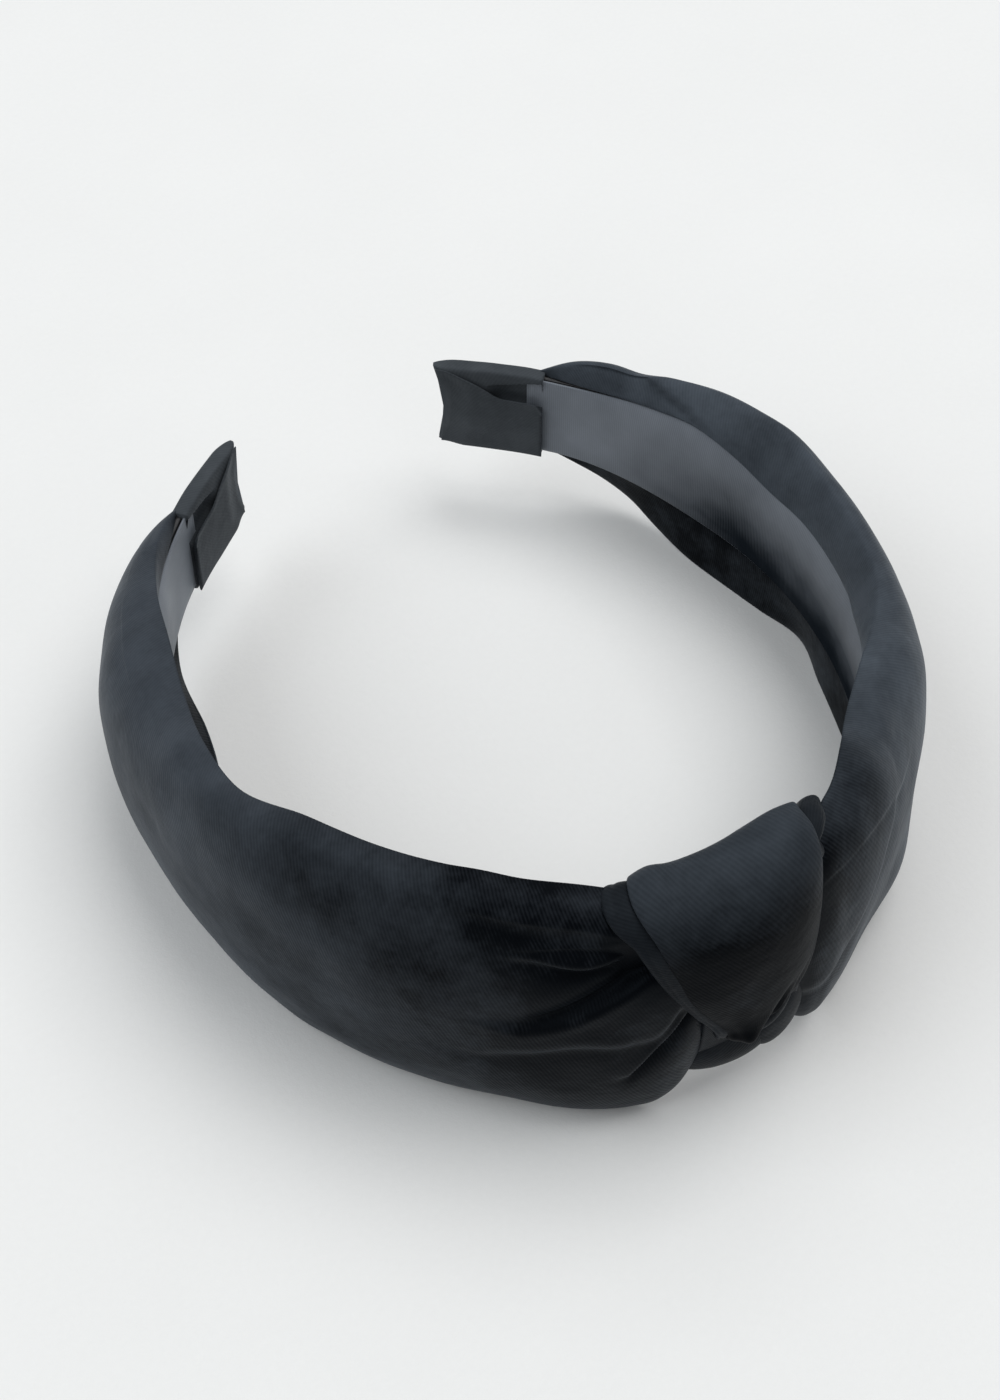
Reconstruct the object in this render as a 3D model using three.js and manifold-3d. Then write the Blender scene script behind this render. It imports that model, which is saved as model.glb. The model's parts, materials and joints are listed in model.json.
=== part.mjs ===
// Knotted headband, lying on its edge as on a table. Millimetres, +Z up.
//
// A flat springy hoop (the core) is lined with ribbon on its inside. Outside it carries a
// strip of padding and two wide wings of folded fabric, which are knotted together at the
// crown. The crown is at -Y, and the hoop opens towards +Y between its two wrapped tips.
//
// Every piece is drawn in the hoop's own coordinates:
//   s    distance along the hoop from the middle of the crown, negative on the left side
//   out  distance outwards from the middle of the core's thickness
//   z    height above the table

import * as THREE from 'three';
import { LoftGeometry } from 'three/addons/geometries/LoftGeometry.js';
import { mergeVertices } from 'three/addons/utils/BufferGeometryUtils.js';
import Module from 'manifold-3d';

const wasm = await Module();
wasm.setup();

// ---- Driving dimensions ----------------------------------------------------------------

// Half of the hoop's plan, from the crown to a tip, as arcs that join smoothly.
const HOOP_ARCS = [
	{ radius: 55, turn: 25 },
	{ radius: 69, turn: 35 },
	{ radius: 85, turn: 88.5 },
];
const HOOP_HALF_LENGTH = HOOP_ARCS.reduce(
	( sum, arc ) => sum + arc.radius * THREE.MathUtils.degToRad( arc.turn ), 0 );

const MID_HEIGHT = 25.5; // height of the core's centre line above the table
const CROWN_WIDTH = 25.4; // the core's width, up to where it starts to narrow
const TIP_WIDTH = 19.4;
const TAPER = { from: 136, to: 174 }; // where the core narrows, along the hoop
const CORE_THICK = 1.6;
const LINING_THICK = 0.5;
const PADDING_THICK = 1.0;
const PADDING_INSET = 2.2; // how far the padding stays in from the core's edges
const PADDING_END = 155;

const GAP = 0.3; // air between pieces that touch on the real object
const EDGE_THICK = 2.0; // thickness of a wing's rolled edges
const CURL_POWER = 4; // how late a wing starts to curl in towards its edges

// The arms flex about these two lines. Crown pieces stop short of them on one side, arm
// pieces start past them on the other, wedge-shaped so that the arms can open outwards.
const FLEX_S = 24;
const FLEX_CLEARANCE = 0.5;
const FLEX_OPEN = THREE.MathUtils.degToRad( 18 );
const CROWN_END = FLEX_S - FLEX_CLEARANCE;

const THROAT_S = 9.2; // where the wings' gathered throats end beside the knot's bundle
const BUNDLE_END = THROAT_S - 0.6;

const LINING_FACE = - CORE_THICK / 2 - GAP - LINING_THICK; // the lining's face towards the head

const WRAP_THICK = 0.5;
const WRAP_LENGTH = 21.5;
const WRAP_END = HOOP_HALF_LENGTH + GAP + WRAP_THICK;
const WRAP_START = WRAP_END - WRAP_LENGTH;
const WING_END = WRAP_START - 0.5;
const LINING_TUCK = 9; // how far the lining's end is tucked into the wrap

// The corner of the wrap's fabric folded over its inner face. It covers the face from its
// lower edge up to a rise above the middle, which grows towards the tip.
const FLAP = { thick: 0.6, rootInset: 2, tipInset: 1, rootRise: 3.2, tipRise: 9.4 };

const STEP = 7; // longest facet along the hoop

// The wings' sections: low and high edge, inner and outer face at mid height, and how far
// out each edge has curled to. Below s = 24 the wing is the gathered throat at the knot.
const LEFT_WING = [
	{ s: 9, low: 3, high: 49, inside: 2.9, outside: 6.9, lowEdge: 2, highEdge: 0.5 },
	{ s: 24, low: 0, high: 55, inside: 2.9, outside: 7.2, lowEdge: 0.5, highEdge: - 2 },
	{ s: 40, low: 0, high: 57.5, inside: 2.9, outside: 6.4, lowEdge: 0, highEdge: - 4.5 },
	{ s: 70, low: 0, high: 56, inside: 2.9, outside: 6.6, lowEdge: 0, highEdge: - 4 },
	{ s: 95, low: 0, high: 51.5, inside: 2.9, outside: 7.6, lowEdge: - 1, highEdge: - 2.5 },
	{ s: 115, low: 0, high: 48, inside: 2.9, outside: 8.4, lowEdge: - 3, highEdge: - 4 },
	{ s: 135, low: 1, high: 46, inside: 2.9, outside: 9.7, lowEdge: - 8, highEdge: - 5 },
	{ s: 150, low: 2.5, high: 43.5, inside: 2.9, outside: 9, lowEdge: - 7, highEdge: - 3 },
	{ s: 164, low: 8, high: 40, inside: 2.4, outside: 6.6, lowEdge: - 1, highEdge: - 1 },
	{ s: 177, low: 14.5, high: 37, inside: 1.3, outside: 3.6, lowEdge: 1.2, highEdge: 1.2 },
];
const RIGHT_WING = [
	{ s: 9, low: 4, high: 49, inside: 2.9, outside: 6.9, lowEdge: 2, highEdge: 0.5 },
	{ s: 24, low: 0, high: 54, inside: 2.9, outside: 7.2, lowEdge: 1, highEdge: - 3 },
	{ s: 40, low: 0, high: 53, inside: 2.9, outside: 7, lowEdge: 2, highEdge: - 8 },
	{ s: 60, low: 0, high: 52, inside: 2.9, outside: 7.4, lowEdge: 2, highEdge: - 7.5 },
	{ s: 80, low: 0, high: 50, inside: 2.9, outside: 7.4, lowEdge: - 1, highEdge: - 4 },
	{ s: 110, low: 0, high: 48, inside: 2.9, outside: 8, lowEdge: - 1.5, highEdge: - 2 },
	{ s: 135, low: 0, high: 45, inside: 2.9, outside: 8.4, lowEdge: - 1, highEdge: - 1 },
	{ s: 152, low: 2, high: 42, inside: 2.6, outside: 7.4, lowEdge: 0, highEdge: 0 },
	{ s: 166, low: 7, high: 39.5, inside: 2.2, outside: 5.6, lowEdge: 1, highEdge: 1 },
	{ s: 177, low: 14.5, high: 37, inside: 1.3, outside: 3.6, lowEdge: 1.2, highEdge: 1.2 },
];

// The knot's front panel comes over the top of the bundle on an arc, and runs down the
// front to a pinch. Rows from the front of the arc down: out and z of the panel's middle,
// and how far its two edges reach along the hoop.
const KNOT_ARC = { out: 0.8, z: 52.8, radius: 7.2, from: 205, to: 5, steps: 8 };
const KNOT_TOP = { left: - 17.2, right: 14.8 };
const KNOT_FRONT = [
	{ out: 8.5, z: 47, left: - 14.6, right: 11.2 },
	{ out: 8.9, z: 40, left: - 12, right: 11 },
	{ out: 8.9, z: 32, left: - 9, right: 10 },
	{ out: 8.8, z: 25, left: - 5.6, right: 4.8 },
	{ out: 8.5, z: 21, left: - 3.6, right: 1.6 },
];
const PANEL_THICK = 1.6;
const PANEL_CROWN = 1.2; // how far the panel's middle swells proud of its edges
const ROLL_WIDTH = 4.8;
const ROLL_THICK = 2.6;
const ROLL_EDGE = 0.35; // thickness at a roll's two edges, as a share of its middle's
const TUCK_WIDTH = 4;

// The two wings' fabric crossing under the panel, as a wing's section without its s.
const BUNDLE = { low: 19, high: 57, inside: 2.9, outside: 7, lowEdge: 2.9, highEdge: - 0.5 };

// The rounded lumps of folded fabric below the pinch.
const LOWER_FOLD = { from: - 8.5, to: 1.8, out: 5.6, z: 12.4, halfOut: 2.7, halfHeight: 5.8 };
const SIDE_FOLD = { from: 2.3, to: 8.8, out: 5.4, z: 12.0, halfOut: 2.5, halfHeight: 6.2 };
const LUMP_ENDS = 0.6; // size of a lump's two ends, as a share of its middle's

// ---- Materials -------------------------------------------------------------------------

function satin( color, roughness ) {

	return new THREE.MeshStandardMaterial( { color, roughness, metalness: 0 } );

}

const blackSatin = () => satin( 0x1b1e22, 0.55 );
const liningRibbon = () => satin( 0x5a6166, 0.5 );
const feltPadding = () => satin( 0x2a2a2c, 0.95 );
const blackPlastic = () => satin( 0x151515, 0.45 );

// ---- Geometry helpers ------------------------------------------------------------------

function hoopPoint( s, out, z ) {

	let left = Math.abs( s );
	let heading = 0;
	let x = 0;
	let y = 0;
	for ( const arc of HOOP_ARCS ) {

		const turn = Math.min( left / arc.radius, THREE.MathUtils.degToRad( arc.turn ) );
		x += arc.radius * ( Math.sin( heading + turn ) - Math.sin( heading ) );
		y += arc.radius * ( Math.cos( heading ) - Math.cos( heading + turn ) );
		heading += turn;
		left -= turn * arc.radius;

	}

	x += left * Math.cos( heading ) + out * Math.sin( heading );
	y += left * Math.sin( heading ) - out * Math.cos( heading );
	return new THREE.Vector3( s < 0 ? - x : x, y, z );

}

// Even stations from one s to another, no further apart than a step.
function stations( from, to, step ) {

	const count = Math.max( 1, Math.ceil( Math.abs( to - from ) / step ) );
	return Array.from( { length: count + 1 }, ( _, i ) => from + ( to - from ) * i / count );

}

function sectionNormal( section ) {

	const normal = new THREE.Vector3();
	section.forEach( ( p, i ) => {

		const q = section[ ( i + 1 ) % section.length ];
		normal.add( new THREE.Vector3().crossVectors( p, q ) );

	} );
	return normal.normalize();

}

function middle( section ) {

	const sum = new THREE.Vector3();
	section.forEach( ( p ) => sum.add( p ) );
	return sum.divideScalar( section.length );

}

// A closed solid through sections of points. The loft needs every section to wind towards
// its own end, so sections drawn the other way round are reversed.
function loft( sections ) {

	const travel = middle( sections[ 1 ] ).sub( middle( sections[ 0 ] ) );
	const windsForward = sectionNormal( sections[ 0 ] ).dot( travel ) > 0;
	const ordered = windsForward ? sections : sections.map( ( section ) => [ ...section ].reverse() );
	return new LoftGeometry( ordered, { capStart: true, capEnd: true } );

}

function loftAlongHoop( from, to, outlineAt, step = STEP ) {

	return loft( stations( from, to, step ).map( ( s ) => outlineAt( s ).map(
		( p ) => hoopPoint( s + ( p.shift ?? 0 ), p.out, p.z ) ) ) );

}

// Half the core's width, which narrows towards the tips.
function coreHalf( s ) {

	const narrowing = THREE.MathUtils.smoothstep( Math.abs( s ), TAPER.from, TAPER.to );
	return THREE.MathUtils.lerp( CROWN_WIDTH, TIP_WIDTH, narrowing ) / 2;

}

// A flat strip that follows the hoop, and reaches past each of the core's edges by a margin.
function strip( from, to, inner, thick, margin ) {

	return loftAlongHoop( from, to, ( s ) => {

		const low = MID_HEIGHT - coreHalf( s ) - margin;
		const high = MID_HEIGHT + coreHalf( s ) + margin;
		return [
			{ out: inner, z: low },
			{ out: inner, z: high },
			{ out: inner + thick, z: high },
			{ out: inner + thick, z: low },
		];

	} );

}

function toManifold( geometry ) {

	const bare = new THREE.BufferGeometry();
	bare.setAttribute( 'position', geometry.attributes.position );
	bare.setIndex( geometry.index );
	const merged = mergeVertices( bare, 1e-4 );
	return new wasm.Manifold( new wasm.Mesh( {
		numProp: 3,
		vertProperties: new Float32Array( merged.attributes.position.array ),
		triVerts: new Uint32Array( merged.index.array ),
	} ) );

}

function fromManifold( solid ) {

	const mesh = solid.getMesh();
	const geometry = new THREE.BufferGeometry();
	geometry.setAttribute( 'position', new THREE.BufferAttribute( mesh.vertProperties, 3 ) );
	geometry.setIndex( new THREE.BufferAttribute( mesh.triVerts, 1 ) );
	geometry.computeVertexNormals();
	return geometry;

}

// The values of a key table at one s, each value running straight between its keys.
function keyed( table, s ) {

	const next = Math.max( 1, table.findIndex( ( key ) => key.s >= s ) );
	const a = table[ next - 1 ];
	const b = table[ next ];
	const t = ( s - a.s ) / ( b.s - a.s );
	const names = Object.keys( a );
	return Object.fromEntries( names.map( ( name ) => [ name, a[ name ] + ( b[ name ] - a[ name ] ) * t ] ) );

}

// ---- Hoop, lining and padding ----------------------------------------------------------

const core = ( from, to ) => strip( from, to, - CORE_THICK / 2, CORE_THICK, 0 );

const lining = ( from, to ) => strip( from, to, LINING_FACE, LINING_THICK, 0 );

function padding( from, to ) {

	return strip( from, to, CORE_THICK / 2 + GAP, PADDING_THICK, - PADDING_INSET );

}

// ---- Wings -----------------------------------------------------------------------------

// A wing's section: a soft lens whose two edges curl in over the edges of the core.
function wingOutline( shape, shiftAt = () => 0 ) {

	const ROWS = 10;
	const inner = [];
	const outer = [];
	for ( let i = 0; i <= ROWS; i ++ ) {

		const z = shape.low + ( shape.high - shape.low ) * i / ROWS;
		const isHigh = z > MID_HEIGHT;
		const reach = isHigh ? shape.high - MID_HEIGHT : MID_HEIGHT - shape.low;
		const edge = isHigh ? shape.highEdge : shape.lowEdge;
		const u = Math.abs( z - MID_HEIGHT ) / reach;
		const fullThick = shape.outside - shape.inside;
		const thick = EDGE_THICK + ( fullThick - EDGE_THICK ) * ( 1 - u * u );
		const out = shape.inside - ( shape.inside - edge ) * u ** CURL_POWER;
		inner.push( { out, z } );
		outer.unshift( { out: out + thick, z } );

	}

	return [ ...inner, ...outer ].map( ( p ) => ( { ...p, shift: shiftAt( p.out ) } ) );

}

// The wing on an arm. Its first face leans back from the flex line, so that it closes on
// the throat only when the arm is fully open.
function wing( side, table ) {

	const start = FLEX_S + FLEX_CLEARANCE;
	return loftAlongHoop( side * start, side * WING_END, ( s ) => {

		const atStart = Math.abs( s ) < start + 0.01;
		const lean = ( out ) => atStart ? side * Math.max( 0, out ) * Math.tan( FLEX_OPEN ) : 0;
		return wingOutline( keyed( table, Math.abs( s ) ), lean );

	} );

}

// The gathered end of a wing's fabric, on the crown side of the flex line.
function throat( side, table ) {

	return loftAlongHoop( side * THROAT_S, side * CROWN_END, ( s ) =>
		wingOutline( keyed( table, Math.abs( s ) ) ) );

}

// ---- Knot ------------------------------------------------------------------------------

// The path that the panel, the roll and the tuck share: points with the direction in which
// the fabric faces there, over the top arc first and then down the front.
function knotPath() {

	const rows = [];
	for ( let i = 0; i <= KNOT_ARC.steps; i ++ ) {

		const degrees = KNOT_ARC.from + ( KNOT_ARC.to - KNOT_ARC.from ) * i / KNOT_ARC.steps;
		const angle = THREE.MathUtils.degToRad( degrees );
		const faceOut = Math.cos( angle );
		const faceUp = Math.sin( angle );
		rows.push( {
			out: KNOT_ARC.out + KNOT_ARC.radius * faceOut,
			z: KNOT_ARC.z + KNOT_ARC.radius * faceUp,
			faceOut, faceUp, ...KNOT_TOP,
		} );

	}

	for ( const row of KNOT_FRONT ) rows.push( { ...row, faceOut: 1, faceUp: 0 } );
	return rows;

}

// A band of fabric laid along the knot's path. The edges and the thickness are given for
// each row, and v runs from -1 at the band's left edge to +1 at its right.
function knotBand( rows, leftAt, rightAt, outerAt, innerAt ) {

	const COLUMNS = 8;
	return loft( rows.map( ( row ) => {

		const outer = [];
		const inner = [];
		for ( let i = 0; i <= COLUMNS; i ++ ) {

			const v = - 1 + 2 * i / COLUMNS;
			const s = THREE.MathUtils.lerp( leftAt( row ), rightAt( row ), i / COLUMNS );
			const point = ( rise ) =>
				hoopPoint( s, row.out + rise * row.faceOut, row.z + rise * row.faceUp );
			outer.push( point( outerAt( v ) ) );
			inner.unshift( point( innerAt( v ) ) );

		}

		return [ ...outer, ...inner ];

	} ) );

}

function frontPanel() {

	return knotBand(
		knotPath(), ( row ) => row.left, ( row ) => row.right,
		( v ) => PANEL_THICK / 2 + PANEL_CROWN * ( 1 - v * v ),
		() => - PANEL_THICK / 2 );

}

// Half the thickness of a rolled fold, with v from -1 to +1 across it.
function rollHalf( v ) {

	return ROLL_THICK / 2 * THREE.MathUtils.lerp( ROLL_EDGE, 1, Math.sqrt( 1 - v * v ) );

}

// The rolled edge of the panel's fabric, which lies along the panel's left side.
function edgeRoll() {

	return knotBand(
		knotPath(), ( row ) => row.left - GAP - ROLL_WIDTH, ( row ) => row.left - GAP,
		rollHalf, ( v ) => - rollHalf( v ) );

}

// The fold that peeps out to the right of the panel where it goes over the top.
function topTuck() {

	return knotBand(
		knotPath().slice( 0, KNOT_ARC.steps ), ( row ) => row.right + GAP,
		( row ) => row.right + GAP + TUCK_WIDTH, rollHalf, ( v ) => - rollHalf( v ) );

}

const bundle = () => loftAlongHoop( - BUNDLE_END, BUNDLE_END, () => wingOutline( BUNDLE ) );

function foldLump( lump ) {

	const SIDES = 12;
	const ROUND_STEP = 1.3;
	return loftAlongHoop( lump.from, lump.to, ( s ) => {

		const v = ( 2 * s - lump.from - lump.to ) / ( lump.to - lump.from );
		const scale = THREE.MathUtils.lerp( LUMP_ENDS, 1, Math.sqrt( Math.max( 0, 1 - v * v ) ) );
		return Array.from( { length: SIDES }, ( _, i ) => {

			const angle = 2 * Math.PI * i / SIDES;
			return {
				out: lump.out + lump.halfOut * scale * Math.cos( angle ),
				z: lump.z + lump.halfHeight * scale * Math.sin( angle ),
			};

		} );

	}, ROUND_STEP );

}

// ---- Tips ------------------------------------------------------------------------------

// The fabric cap sewn over a tip: a flat pocket that the core and the lining's end fill.
function tipWrap( side ) {

	const OVERCUT = 2; // how far the pocket's cutter reaches out of its open end
	const innerFace = LINING_FACE - GAP;
	const outerFace = CORE_THICK / 2 + GAP;
	const pocketEnd = HOOP_HALF_LENGTH + GAP;
	const cover = strip(
		side * WRAP_START, side * WRAP_END, innerFace - WRAP_THICK,
		outerFace - innerFace + 2 * WRAP_THICK, GAP + WRAP_THICK );
	const pocket = strip(
		side * ( WRAP_START - OVERCUT ), side * pocketEnd, innerFace, outerFace - innerFace, GAP );
	return fromManifold( toManifold( cover ).subtract( toManifold( pocket ) ) );

}

// The folded corner of the cap's fabric, laid over its inner face.
function tipFlap( side ) {

	const start = WRAP_START + FLAP.rootInset;
	const end = HOOP_HALF_LENGTH - FLAP.tipInset;
	const outside = LINING_FACE - GAP - WRAP_THICK - GAP;
	const inside = outside - FLAP.thick;
	const low = MID_HEIGHT - TIP_WIDTH / 2;
	return loftAlongHoop( side * start, side * end, ( s ) => {

		const towardsTip = THREE.MathUtils.smoothstep( Math.abs( s ), start, end );
		const high = MID_HEIGHT + THREE.MathUtils.lerp( FLAP.rootRise, FLAP.tipRise, towardsTip );
		return [
			{ out: inside, z: low },
			{ out: inside, z: high },
			{ out: outside, z: high },
			{ out: outside, z: low },
		];

	} );

}

// ---- Assembly --------------------------------------------------------------------------

const headband = new THREE.Group();
headband.name = 'knotted_headband';

function add( name, geometry, material ) {

	const mesh = new THREE.Mesh( geometry, material );
	mesh.name = name;
	headband.add( mesh );

}

add( 'core_crown', core( - CROWN_END, CROWN_END ), blackPlastic() );
add( 'lining_crown', lining( - CROWN_END, CROWN_END ), liningRibbon() );
add( 'padding_crown', padding( - CROWN_END, CROWN_END ), feltPadding() );
add( 'throat_left', throat( - 1, LEFT_WING ), blackSatin() );
add( 'throat_right', throat( 1, RIGHT_WING ), blackSatin() );
add( 'knot_bundle', bundle(), blackSatin() );
add( 'knot_front_panel', frontPanel(), blackSatin() );
add( 'knot_edge_roll', edgeRoll(), blackSatin() );
add( 'knot_top_tuck', topTuck(), blackSatin() );
add( 'knot_lower_fold', foldLump( LOWER_FOLD ), blackSatin() );
add( 'knot_side_fold', foldLump( SIDE_FOLD ), blackSatin() );

const armStart = FLEX_S + FLEX_CLEARANCE;
const liningEnd = WRAP_START + LINING_TUCK;
for ( const [ label, side, table ] of [ [ 'left', - 1, LEFT_WING ], [ 'right', 1, RIGHT_WING ] ] ) {

	add( `core_${ label }`, core( side * armStart, side * HOOP_HALF_LENGTH ), blackPlastic() );
	add( `lining_${ label }`, lining( side * armStart, side * liningEnd ), liningRibbon() );
	add( `padding_${ label }`, padding( side * ( armStart + 1 ), side * PADDING_END ), feltPadding() );
	add( `wing_${ label }`, wing( side, table ), blackSatin() );
	add( `tip_wrap_${ label }`, tipWrap( side ), blackSatin() );
	add( `tip_flap_${ label }`, tipFlap( side ), blackSatin() );

}

// Bring the origin to the middle of the outline's plan, on the table.
const outline = new THREE.Box3().setFromObject( headband );
const centre = outline.getCenter( new THREE.Vector3() );
headband.position.set( - centre.x, - centre.y, - outline.min.z );

export default headband;
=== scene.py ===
"""Knotted headband: fabric, lining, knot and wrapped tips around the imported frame.

Everything is drawn in the hoop's own coordinates, in millimetres: s runs along the hoop from
the middle of the crown (negative on the left), out is outwards from the middle of the core,
and z is the height above the floor. hoop_point turns them into the frame's metres.
"""

import json
import math

import bmesh
import bpy
import numpy as np
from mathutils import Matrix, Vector, noise


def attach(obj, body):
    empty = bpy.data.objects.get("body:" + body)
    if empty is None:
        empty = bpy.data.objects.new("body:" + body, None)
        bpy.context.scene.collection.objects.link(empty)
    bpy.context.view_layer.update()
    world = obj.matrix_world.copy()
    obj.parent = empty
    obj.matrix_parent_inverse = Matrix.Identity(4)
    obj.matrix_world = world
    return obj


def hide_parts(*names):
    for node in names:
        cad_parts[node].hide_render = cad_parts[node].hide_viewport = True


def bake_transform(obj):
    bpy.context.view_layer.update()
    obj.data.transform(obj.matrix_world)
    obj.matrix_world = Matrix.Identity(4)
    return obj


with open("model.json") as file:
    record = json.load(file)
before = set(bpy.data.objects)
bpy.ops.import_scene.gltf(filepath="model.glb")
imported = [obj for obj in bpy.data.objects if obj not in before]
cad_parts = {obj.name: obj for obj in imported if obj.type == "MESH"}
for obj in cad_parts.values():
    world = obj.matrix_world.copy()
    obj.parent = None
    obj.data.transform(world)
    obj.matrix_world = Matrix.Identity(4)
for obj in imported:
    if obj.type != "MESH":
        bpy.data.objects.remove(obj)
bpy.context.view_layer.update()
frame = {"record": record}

# ---- The hoop's own coordinates

MM = 0.001
SIDES = (("left", -1), ("right", 1))
HOOP_ARCS = ((55.0, 25.0), (69.0, 35.0), (85.0, 88.5))  # radius, and turn in degrees
HALF_LENGTH = sum(radius * math.radians(turn) for radius, turn in HOOP_ARCS)
MID_HEIGHT = 25.5  # of the core's middle above the floor
TIP_WIDTH = 19.4
CROWN_WIDTH = 25.4
TAPER = (136, 174)  # where the core narrows from the crown's width to the tips'
FLEX_S = 24.0  # where the arms' joints are
WRAP_END = HALF_LENGTH + 0.8
WRAP_START = WRAP_END - 21.5


def hoop_plan(s, out):
    """Plan position, in millimetres from the middle of the crown."""
    rest = np.abs(s)
    heading = np.zeros_like(rest)
    x = np.zeros_like(rest)
    y = np.zeros_like(rest)
    for radius, turn in HOOP_ARCS:
        step = np.minimum(rest / radius, math.radians(turn))
        x = x + radius * (np.sin(heading + step) - np.sin(heading))
        y = y + radius * (np.cos(heading) - np.cos(heading + step))
        heading = heading + step
        rest = rest - step * radius
    x = x + rest * np.cos(heading) + out * np.sin(heading)
    y = y + rest * np.sin(heading) - out * np.cos(heading)
    return np.where(s < 0, -x, x), y


def crown_origin():
    """The middle of the crown, found from the right flex joint, which is FLEX_S along the hoop."""
    joints = {joint["name"]: joint["pos_m"] for joint in frame["record"]["behaviour"]["joints"]}
    flex = joints["flex_right"]
    x, y = hoop_plan(np.array(FLEX_S), np.array(0.0))
    return flex[0] - float(x) * MM, flex[1] - float(y) * MM


CROWN_X, CROWN_Y = crown_origin()


def hoop_point(s, out, z):
    """A point of the frame, in metres, from the hoop's own coordinates."""
    s, out, z = (np.asarray(a, dtype=float) for a in np.broadcast_arrays(s, out, z))
    x, y = hoop_plan(s, out)
    return np.stack([CROWN_X + x * MM, CROWN_Y + y * MM, z * MM], axis=-1)


def half_width(s):
    """Half the core's width: it narrows towards the tips."""
    return TIP_WIDTH / 2 + (CROWN_WIDTH - TIP_WIDTH) / 2 * (1 - smoothstep(*TAPER, np.abs(s)))


def smooth_key(keys, name, s):
    """A named value of a key table at s, on a smooth curve through the keys."""
    at = np.array([key["s"] for key in keys], dtype=float)
    value = np.array([key[name] for key in keys], dtype=float)
    slope = np.gradient(value, at)
    i = np.clip(np.searchsorted(at, s, side="right") - 1, 0, len(at) - 2)
    width = at[i + 1] - at[i]
    t = np.clip((s - at[i]) / width, 0.0, 1.0)
    return (
        (2 * t**3 - 3 * t**2 + 1) * value[i]
        + (t**3 - 2 * t**2 + t) * width * slope[i]
        + (3 * t**2 - 2 * t**3) * value[i + 1]
        + (t**3 - t**2) * width * slope[i + 1]
    )


def smoothstep(low, high, value):
    """0 at low, 1 at high and smooth between them; low may be the greater one."""
    t = np.clip((value - low) / (high - low), 0.0, 1.0)
    return t * t * (3 - 2 * t)


def signed_power(value, power):
    """A power that keeps the sign: on a circle's sine and cosine it squares off the circle."""
    return np.sign(value) * np.abs(value) ** power


def circle(count):
    """The cosines and the sines of even steps around a circle, as two rows."""
    angle = np.linspace(0, 2 * np.pi, count, endpoint=False)[None, :]
    return np.cos(angle), np.sin(angle)


def cloth_noise(points, scale, seed):
    """Smooth noise from -1 to 1 at points in metres; scale is the wave's size in metres."""
    flat = points.reshape(-1, 3) / scale + seed
    values = np.array([noise.noise(Vector(p), noise_basis="PERLIN_NEW") for p in flat])
    return values.reshape(points.shape[:-1])


# ---- Mesh helpers


def mesh_object(name, vertices, faces, uvs=None):
    """A smooth mesh in the scene, with one uv for each vertex if they are given."""
    mesh = bpy.data.meshes.new(name)
    mesh.from_pydata([tuple(v) for v in vertices], [], faces)
    if uvs is not None:
        layer = mesh.uv_layers.new(name="cloth")
        for loop in mesh.loops:
            layer.data[loop.index].uv = uvs[loop.vertex_index]
    for polygon in mesh.polygons:
        polygon.use_smooth = True
    mesh.update()
    piece = bpy.data.objects.new(name, mesh)
    bpy.context.scene.collection.objects.link(piece)
    return piece


def tube(name, rings, mirrored=False):
    """A closed piece through rings of points, rings[i][j], with both ends capped by a fan.

    The uv map is the cloth's own plane in millimetres: along the tube, then around it. On a
    mirrored piece the two are swapped and the way around is turned back.
    """
    rows, columns, _ = rings.shape
    vertices = list(rings.reshape(-1, 3))
    along = np.concatenate([[0], np.cumsum(np.linalg.norm(
        np.diff(rings, axis=0), axis=2).mean(axis=1))]) / MM
    step = np.linalg.norm(np.diff(rings, axis=1), axis=2).mean(axis=0)
    around = np.concatenate([[0], np.cumsum(step)]) / MM
    uvs = [(-v, u) if mirrored else (u, v) for u in along for v in around]
    faces = []
    for i in range(rows - 1):
        for j in range(columns):
            k = (j + 1) % columns
            faces.append((i * columns + j, i * columns + k, (i + 1) * columns + k, (i + 1) * columns + j))
    for row, flip in ((0, True), (rows - 1, False)):
        centre = len(vertices)
        vertices.append(rings[row].mean(axis=0))
        uvs.append((along[row], 0.0))
        for j in range(columns):
            a = row * columns + j
            b = row * columns + (j + 1) % columns
            faces.append((b, a, centre) if flip else (a, b, centre))
    piece = mesh_object(name, vertices, faces, uvs)
    face_outwards(piece)
    return piece


def face_outwards(piece):
    """Turn a closed mesh's faces outwards, judged by its signed volume."""
    work = bmesh.new()
    work.from_mesh(piece.data)
    if work.calc_volume(signed=True) < 0:
        bmesh.ops.reverse_faces(work, faces=work.faces[:])
        work.to_mesh(piece.data)
    work.free()


def finish_piece(piece, material, node_names, body=None):
    """Give a piece its material in a slot, hide its CAD nodes, and attach it to a body if one is given.
    """
    piece.data.materials.append(material)
    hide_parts(*node_names)
    if body:
        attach(piece, body)


# ---- Materials


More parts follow.
